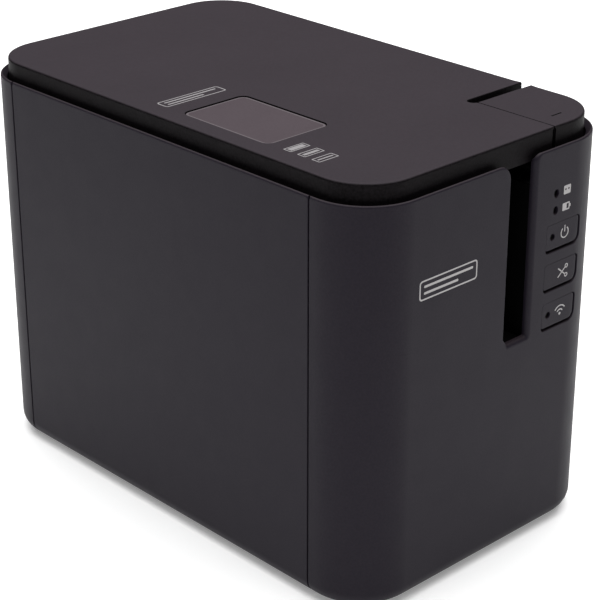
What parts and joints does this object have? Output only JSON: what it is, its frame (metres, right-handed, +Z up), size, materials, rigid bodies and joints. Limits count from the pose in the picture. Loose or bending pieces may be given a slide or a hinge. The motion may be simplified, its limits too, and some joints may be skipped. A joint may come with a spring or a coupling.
{
  "type": "label maker",
  "caption": "Desktop label printer for wide tape: dark box with rounded corners, hinged top cover with a window, upright tape slot, front keys and a cover release.",
  "frame": {"origin": "middle of the base, at the height of the surface that the four feet stand on", "axes": "+Z up, -Y out of the front face with the tape slot, +X to the right as seen from the front, +Y to the rear and along the longest side"},
  "size_m": [0.117, 0.193, 0.146],
  "materials": {
    "shell_plastic": "fine textured dark grey plastic",
    "cover_plastic": "fine textured dark grey plastic, a little lighter",
    "inner_plastic": "plain black moulded plastic",
    "white_plastic": "natural white moulded plastic",
    "gear_plastic": "smooth acetal",
    "window_plastic": "smoked clear plastic",
    "lens_plastic": "dark translucent lens",
    "rubber": "plain black rubber",
    "steel": "plain bright steel",
    "aluminium": "extruded",
    "ceramic": "fired and printed",
    "circuit_board": "green solder mask",
    "black_plastic": "moulded connector body",
    "ink_film": "ink film",
    "tape": "laminated tape on paper backing",
    "flat_cable": "flexible film with copper tracks"
  },
  "bodies": {
    "housing": {"front_shell": "shell_plastic", "left_side_panel": "shell_plastic", "right_side_panel": "shell_plastic", "rear_shell": "shell_plastic", "base_plate": "inner_plastic", "battery_connector_cover": "inner_plastic", "chassis": "inner_plastic", "inner_deck": "inner_plastic", "roller_holder": "white_plastic", "cassette_case": "white_plastic", "cassette_lid": "white_plastic", "cassette_lamp_lens": "lens_plastic", "battery_lamp_lens": "lens_plastic", "foot_front_left": "rubber", "foot_front_right": "rubber", "foot_rear_left": "rubber", "foot_rear_right": "rubber", "key_pad": "rubber", "base_screw_front_left": "steel", "base_screw_front_right": "steel", "base_screw_rear_left": "steel", "base_screw_rear_right": "steel", "button_spring": "steel", "gear_plate": "steel", "drive_motor": "steel", "cutter_motor": "steel", "cutter_fixed_blade": "steel", "usb_port": "steel", "key_board": "circuit_board", "main_board": "circuit_board", "power_inlet": "black_plastic", "serial_port": "black_plastic", "label_tape": "tape", "key_cable": "flat_cable"},
    "cover": {"top_cover": "cover_plastic", "cover_window": "window_plastic", "hinge_pin_left": "steel", "hinge_pin_right": "steel"},
    "cover_button": {"cover_open_button": "cover_plastic"},
    "latch": {"latch_lever": "inner_plastic"},
    "key_power": {"power_key": "shell_plastic", "power_lamp_lens": "lens_plastic"},
    "key_feed_cut": {"feed_cut_key": "shell_plastic"},
    "key_wireless": {"wireless_key": "shell_plastic", "wireless_lamp_lens": "lens_plastic"},
    "idler": {"idler_gear": "gear_plastic"},
    "motor_rotor": {"motor_pinion": "gear_plastic"},
    "platen": {"platen_shaft": "gear_plastic", "platen_roller": "rubber"},
    "feed": {"feed_gear": "gear_plastic", "feed_roller": "rubber"},
    "ribbon_take_up": {"ribbon_gear": "gear_plastic", "ribbon_take_up_spool": "ink_film"},
    "ribbon_supply": {"ribbon_supply_spool": "ink_film"},
    "tape_supply": {"tape_roll": "tape"},
    "print_head": {"head_arm": "aluminium", "thermal_head": "ceramic"},
    "cutter_drive": {"cutter_pinion": "gear_plastic"},
    "cutter_blade": {"cutter_carriage": "white_plastic", "cutter_moving_blade": "steel"}
  },
  "joints": [
    {"name": "cover_hinge", "type": "hinge", "parent": "housing", "child": "cover", "pos_m": [0, 0.075, 0.1402], "axis": [-1, 0, 0], "range_deg": [0, 80]},
    {"name": "cover_button_press", "type": "slide", "parent": "housing", "child": "cover_button", "axis": [0, 0, -1], "range_m": [0, 0.0025], "stiffness_N_per_m": 600, "springref_m": -0.002, "deforming": ["button_spring"]},
    {"name": "latch_pivot", "type": "hinge", "parent": "housing", "child": "latch", "pos_m": [0.034, -0.067, 0.122], "axis": [0, 1, 0], "range_deg": [0, 15]},
    {"name": "key_power_press", "type": "slide", "parent": "housing", "child": "key_power", "axis": [0, 1, 0], "range_m": [0, 0.0006], "stiffness_N_per_m": 1200, "springref_m": -0.0008},
    {"name": "key_feed_cut_press", "type": "slide", "parent": "housing", "child": "key_feed_cut", "axis": [0, 1, 0], "range_m": [0, 0.0006], "stiffness_N_per_m": 1200, "springref_m": -0.0008},
    {"name": "key_wireless_press", "type": "slide", "parent": "housing", "child": "key_wireless", "axis": [0, 1, 0], "range_m": [0, 0.0006], "stiffness_N_per_m": 1200, "springref_m": -0.0008},
    {"name": "idler_spin", "type": "hinge", "parent": "housing", "child": "idler", "pos_m": [0.03633, -0.03682, 0.064], "axis": [0, 0, 1], "continuous": true},
    {"name": "motor_spin", "type": "hinge", "parent": "housing", "child": "motor_rotor", "pos_m": [0.03286, -0.01712, 0.064], "axis": [0, 0, 1], "continuous": true},
    {"name": "platen_spin", "type": "hinge", "parent": "housing", "child": "platen", "pos_m": [0.0166, -0.044, 0.064], "axis": [0, 0, 1], "continuous": true},
    {"name": "feed_spin", "type": "hinge", "parent": "housing", "child": "feed", "pos_m": [0.0056, -0.05266, 0.064], "axis": [0, 0, 1], "continuous": true},
    {"name": "ribbon_take_up_spin", "type": "hinge", "parent": "housing", "child": "ribbon_take_up", "pos_m": [-0.01191, -0.04107, 0.064], "axis": [0, 0, 1], "continuous": true},
    {"name": "ribbon_supply_spin", "type": "hinge", "parent": "housing", "child": "ribbon_supply", "pos_m": [-0.033, -0.04, 0.1], "axis": [0, 0, 1], "continuous": true},
    {"name": "tape_supply_spin", "type": "hinge", "parent": "housing", "child": "tape_supply", "pos_m": [-0.018, -0.002, 0.1], "axis": [0, 0, 1], "continuous": true},
    {"name": "print_head_release", "type": "hinge", "parent": "housing", "child": "print_head", "pos_m": [0.007, -0.034, 0.1], "axis": [0, 0, -1], "range_deg": [0, 6]},
    {"name": "cutter_drive_turn", "type": "hinge", "parent": "housing", "child": "cutter_drive", "pos_m": [0.034, -0.075, 0.1], "axis": [0, 0, -1], "range_deg": [0, 57.3]},
    {"name": "cutter_blade_slide", "type": "slide", "parent": "housing", "child": "cutter_blade", "axis": [-1, 0, 0], "range_m": [0, 0.005]}
  ],
  "couplings": [
    {"joint": "latch_pivot", "follows": "cover_button_press", "rad_per_m": 100},
    {"joint": "motor_spin", "follows": "idler_spin", "ratio": -2.3333},
    {"joint": "platen_spin", "follows": "idler_spin", "ratio": -2},
    {"joint": "feed_spin", "follows": "idler_spin", "ratio": 2},
    {"joint": "ribbon_take_up_spin", "follows": "idler_spin", "ratio": -1},
    {"joint": "ribbon_supply_spin", "follows": "idler_spin", "ratio": 0.6667},
    {"joint": "tape_supply_spin", "follows": "idler_spin", "ratio": 0.4651},
    {"joint": "print_head_release", "follows": "cover_hinge", "ratio": 0.07},
    {"joint": "cutter_drive_turn", "follows": "cutter_blade_slide", "rad_per_m": 200}
  ]
}
